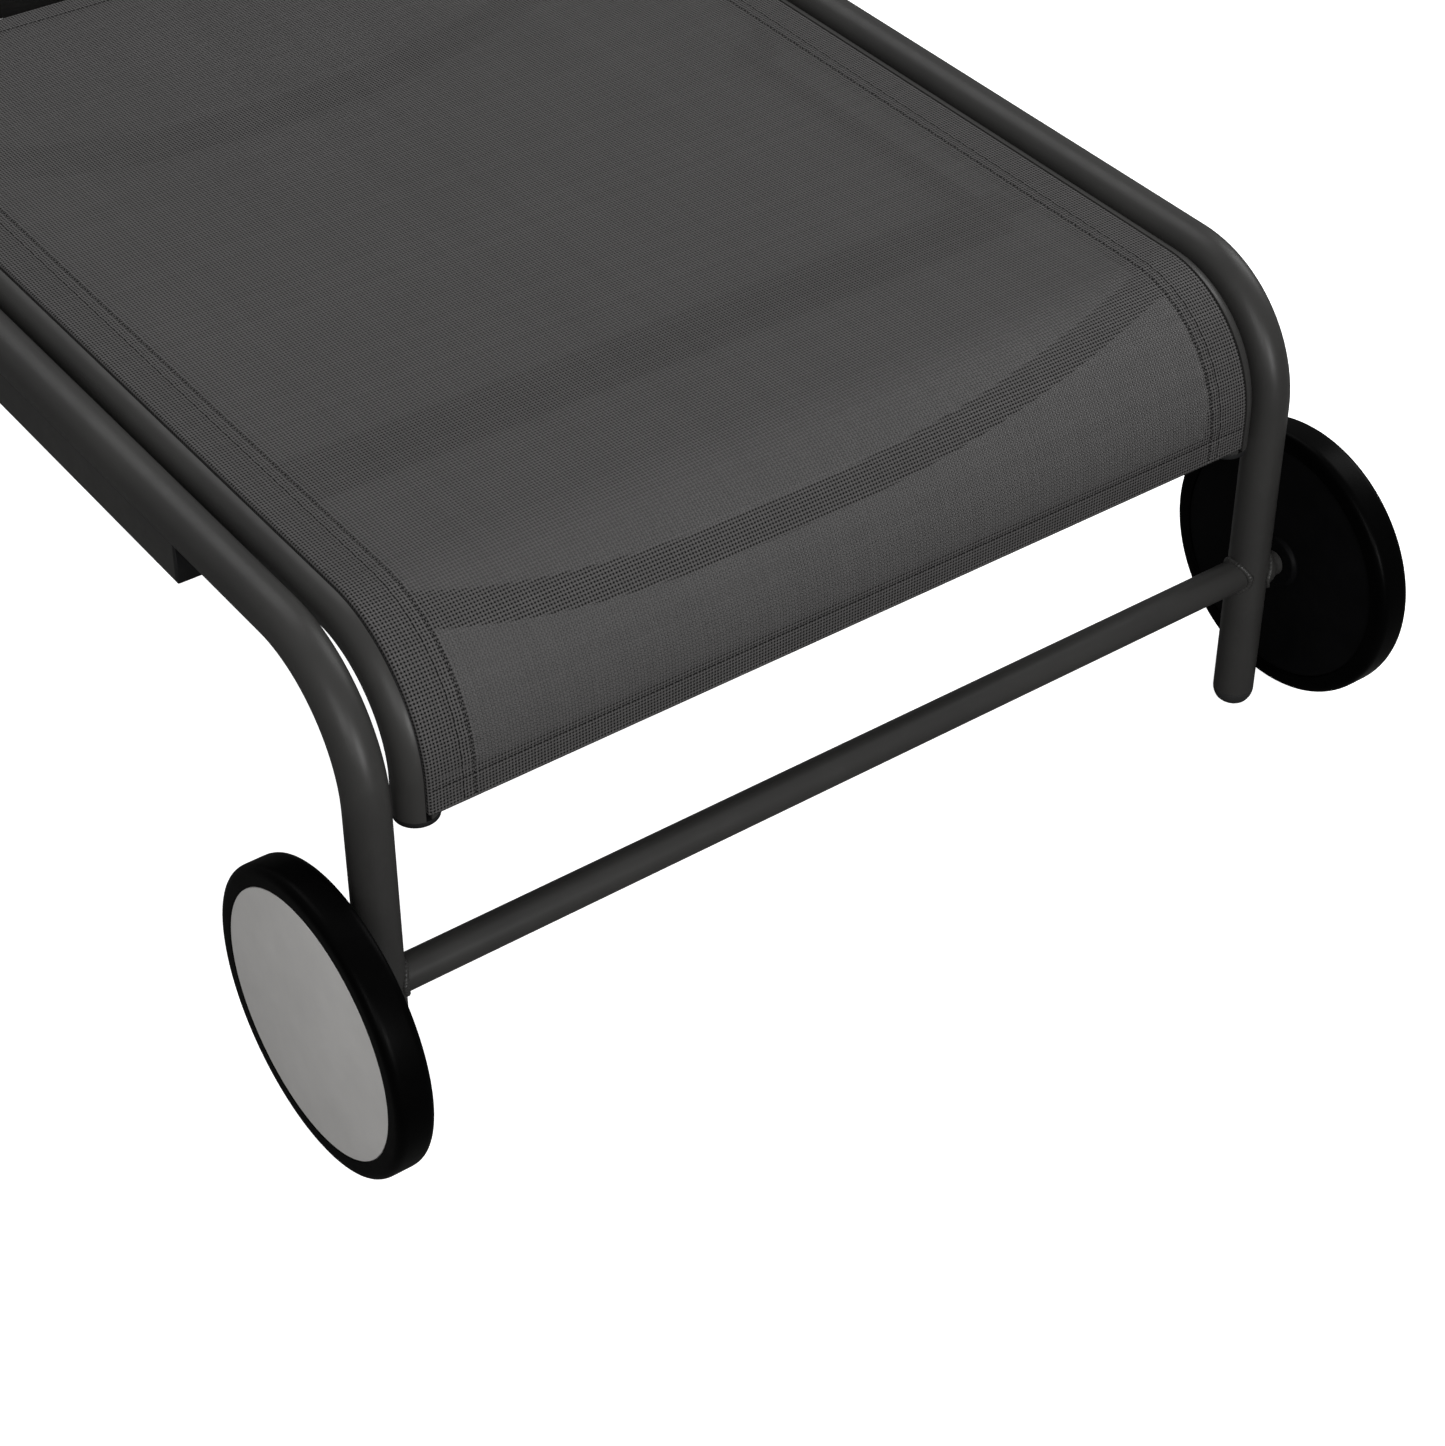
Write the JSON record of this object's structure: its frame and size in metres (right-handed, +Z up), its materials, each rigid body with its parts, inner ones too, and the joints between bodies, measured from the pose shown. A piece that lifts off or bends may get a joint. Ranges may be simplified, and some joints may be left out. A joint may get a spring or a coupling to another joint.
{
  "type": "reclining sun lounger",
  "caption": "Low sun lounger with a bent tube frame on feet and wheels, a mesh sling seat, and a mesh backrest that lifts and is propped in racks.",
  "frame": {"origin": "on the ground, under the middle of the whole length and width", "axes": "+Z up, +X across, +Y along the lounger from the wheels and the head end towards the foot end"},
  "size_m": [0.795, 1.969, 0.3314],
  "materials": {
    "coat": "satin charcoal powder coat",
    "black_plastic": "matte black moulding",
    "tyre": "smooth black rubber",
    "cover_grey": "satin grey",
    "steel": "plain fixings",
    "mesh": "open woven coated-yarn mesh, dark grey"
  },
  "bodies": {
    "frame": {"head_crossbar": "coat", "foot_crossbar": "coat", "seat_spreader_front": "coat", "seat_spreader_middle": "coat", "seat_spreader_foot": "coat", "seat_sling": "mesh", "side_tube_left": "coat", "side_tube_right": "coat", "foot_cap_head_left": "black_plastic", "foot_cap_head_right": "black_plastic", "foot_cap_foot_left": "black_plastic", "foot_cap_foot_right": "black_plastic", "rack_left": "coat", "rack_right": "coat", "rack_cap_head_left": "black_plastic", "rack_cap_head_right": "black_plastic", "rack_cap_hinge_left": "black_plastic", "rack_cap_hinge_right": "black_plastic", "hinge_bracket_left": "coat", "hinge_bracket_right": "coat", "hinge_rivet_left": "steel", "hinge_rivet_right": "steel", "stub_axle_left": "coat", "stub_axle_right": "coat", "axle_retainer_left": "steel", "axle_retainer_right": "steel", "seat_standoff_front_left": "coat", "seat_standoff_front_right": "coat", "seat_standoff_rear_left": "coat", "seat_standoff_rear_right": "coat", "seat_rail_left": "coat", "seat_rail_right": "coat", "seat_plug_hinge_left": "black_plastic", "seat_plug_hinge_right": "black_plastic", "seat_plug_foot_left": "black_plastic", "seat_plug_foot_right": "black_plastic"},
    "backrest": {"backrest_spreader_head": "coat", "backrest_spreader_hinge": "coat", "backrest_sling": "mesh", "backrest_rail_left": "coat", "backrest_rail_right": "coat", "backrest_plug_head_left": "black_plastic", "backrest_plug_head_right": "black_plastic", "backrest_plug_hinge_left": "black_plastic", "backrest_plug_hinge_right": "black_plastic", "hinge_lug_left": "coat", "hinge_lug_right": "coat", "prop_ear_left": "coat", "prop_ear_right": "coat", "prop_rivet_left": "steel", "prop_rivet_right": "steel"},
    "prop": {"prop_bail": "coat", "prop_pin_left": "black_plastic", "prop_pin_right": "black_plastic"},
    "wheel_left": {"tyre_left": "tyre", "wheel_hub_left": "black_plastic", "wheel_cover_left": "cover_grey"},
    "wheel_right": {"tyre_right": "tyre", "wheel_hub_right": "black_plastic", "wheel_cover_right": "cover_grey"}
  },
  "joints": [
    {"name": "backrest_hinge", "type": "hinge", "parent": "frame", "child": "backrest", "pos_m": [0, -0.11649, 0.291], "axis": [-1, 0, 0], "range_deg": [0, 70]},
    {"name": "prop_swing", "type": "hinge", "parent": "backrest", "child": "prop", "pos_m": [0, -0.38874, 0.291], "axis": [1, 0, 0], "range_deg": [0, 140]},
    {"name": "wheel_left_spin", "type": "hinge", "parent": "frame", "child": "wheel_left", "pos_m": [-0.385, -0.88599, 0.1035], "axis": [1, 0, 0], "continuous": true},
    {"name": "wheel_right_spin", "type": "hinge", "parent": "frame", "child": "wheel_right", "pos_m": [0.385, -0.88599, 0.1035], "axis": [1, 0, 0], "continuous": true}
  ],
  "couplings": [
    {"joint": "prop_swing", "follows": "backrest_hinge", "ratio": 2}
  ]
}
